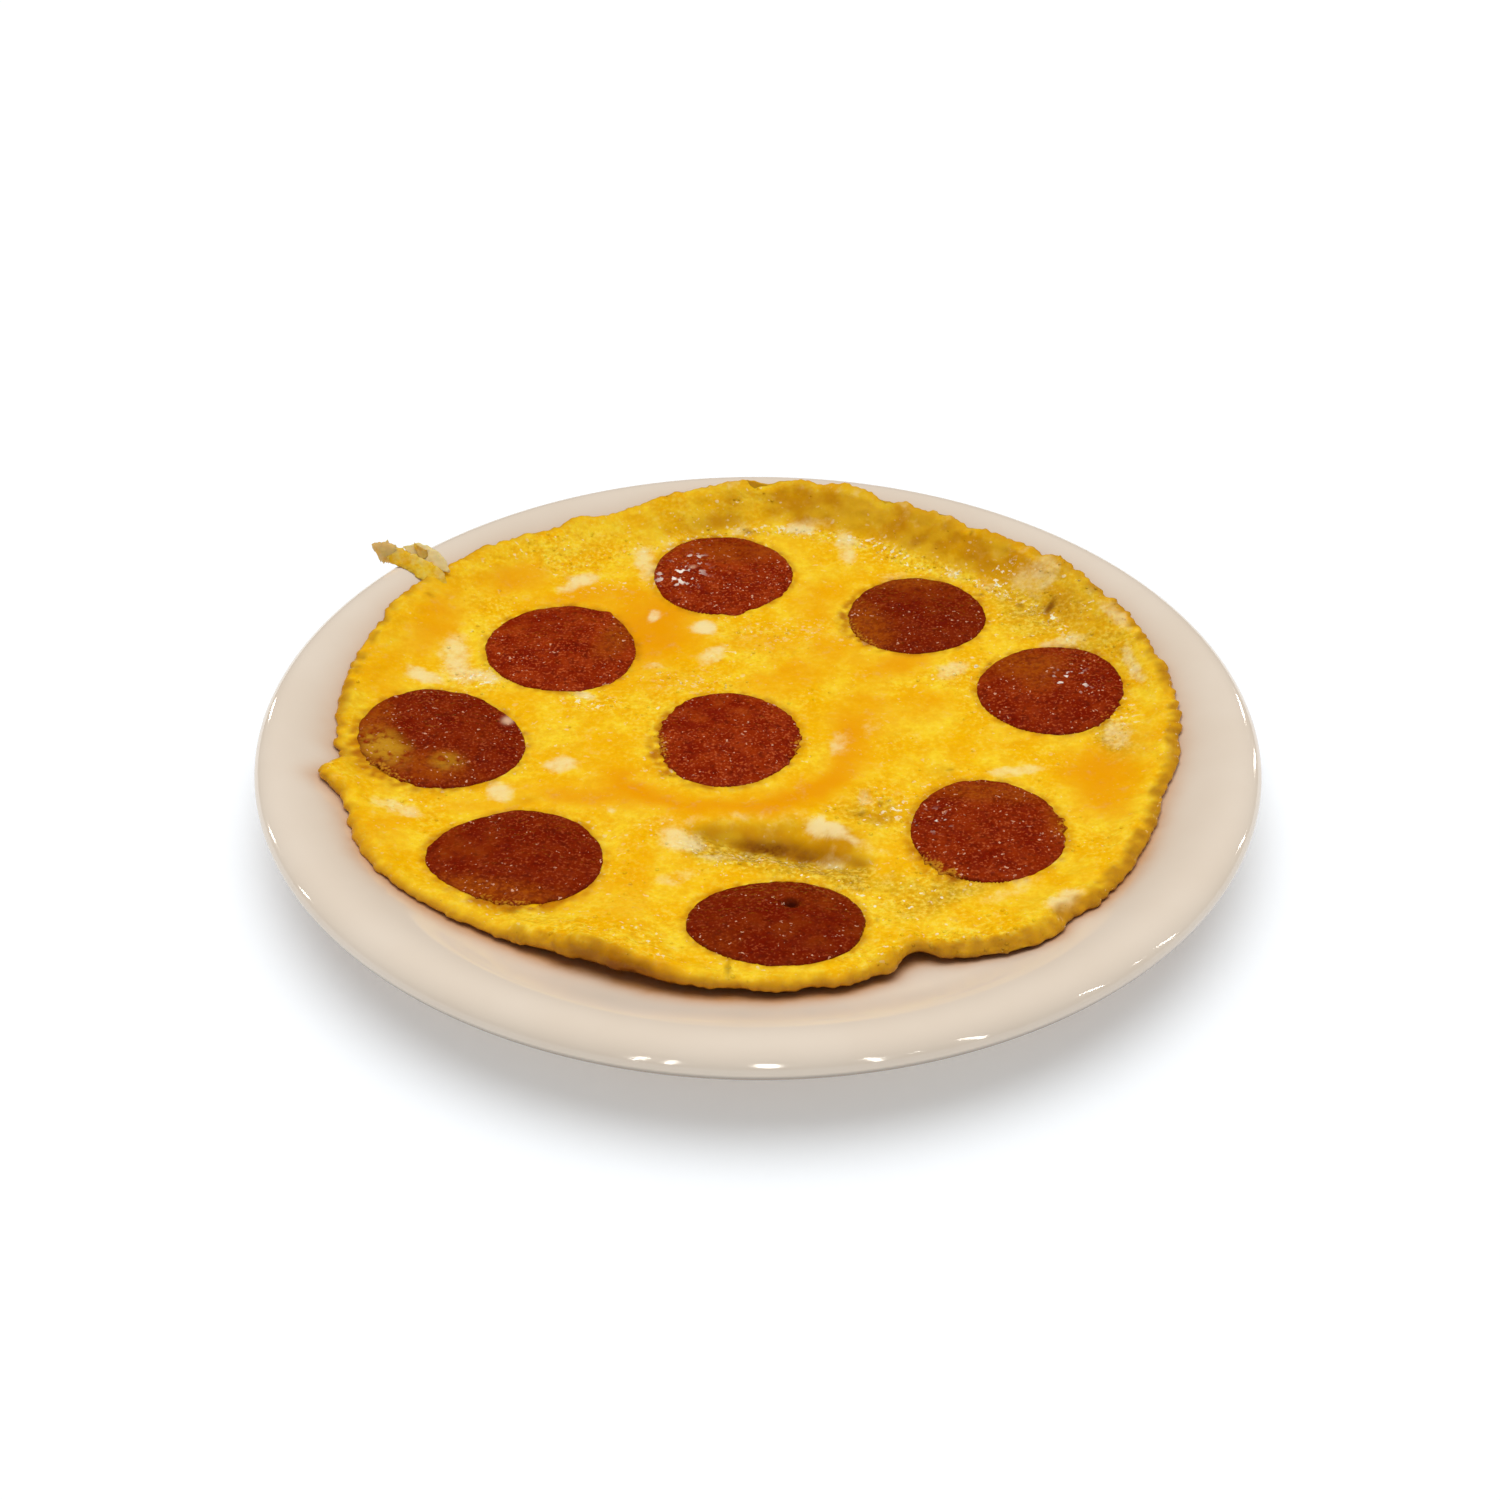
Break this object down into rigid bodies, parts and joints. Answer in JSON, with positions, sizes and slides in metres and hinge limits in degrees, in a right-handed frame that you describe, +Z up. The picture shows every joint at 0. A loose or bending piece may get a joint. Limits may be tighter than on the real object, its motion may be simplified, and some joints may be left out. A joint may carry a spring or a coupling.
{
  "type": "open-faced omelette on a plate",
  "caption": "Round, flat, open-faced omelette with sausage slices set into its face and a turned-up edge, lying on a plain glazed dinner plate.",
  "frame": {"origin": "centre of the plate, on the surface its foot ring stands on", "axes": "+Z up; the omelette's turned-up edge is towards +Y and its flattened, rolled front towards -Y"},
  "size_m": [0.26, 0.26, 0.0288],
  "materials": {
    "plate_glaze": "glossy cream glaze",
    "egg": "moist cooked egg, browned at the edge",
    "sausage": "moist, finely mottled cut sausage"
  },
  "bodies": {
    "root": {"plate": "plate_glaze", "omelette": "egg", "sausage_slice_1": "sausage", "sausage_slice_2": "sausage", "sausage_slice_3": "sausage", "sausage_slice_4": "sausage", "sausage_slice_5": "sausage", "sausage_slice_6": "sausage", "sausage_slice_7": "sausage", "sausage_slice_8": "sausage", "sausage_slice_9": "sausage"}
  },
  "joints": []
}
